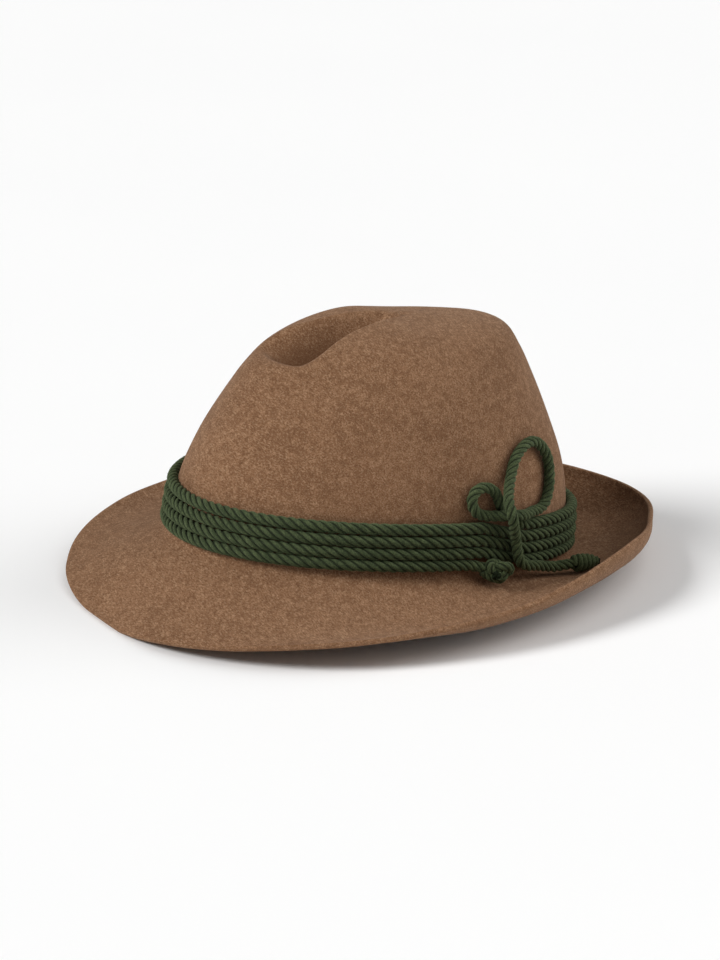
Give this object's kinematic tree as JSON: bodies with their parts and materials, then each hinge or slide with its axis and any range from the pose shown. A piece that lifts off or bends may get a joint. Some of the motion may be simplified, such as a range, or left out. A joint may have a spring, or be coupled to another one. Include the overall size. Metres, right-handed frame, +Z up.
{
  "type": "tyrolean hat",
  "caption": "Creased wool felt hat with a brim dipped at the front and turned up at the back, and a twisted cord band tied in a bow at the wearer's left.",
  "frame": {"origin": "middle of the hat's outline on the surface that it rests on", "axes": "+Z up, -Y the way the wearer looks, +X the wearer's left"},
  "size_m": [0.2824, 0.3048, 0.1299],
  "materials": {
    "felt": "mottled brown wool felt with a light nap",
    "leather": "smooth dark brown",
    "cord": "dark green twisted wool cord"
  },
  "bodies": {
    "root": {"felt_body": "felt", "sweatband": "leather", "cord": "cord", "cord_start_knot": "cord", "cord_end_knot": "cord"}
  },
  "joints": []
}
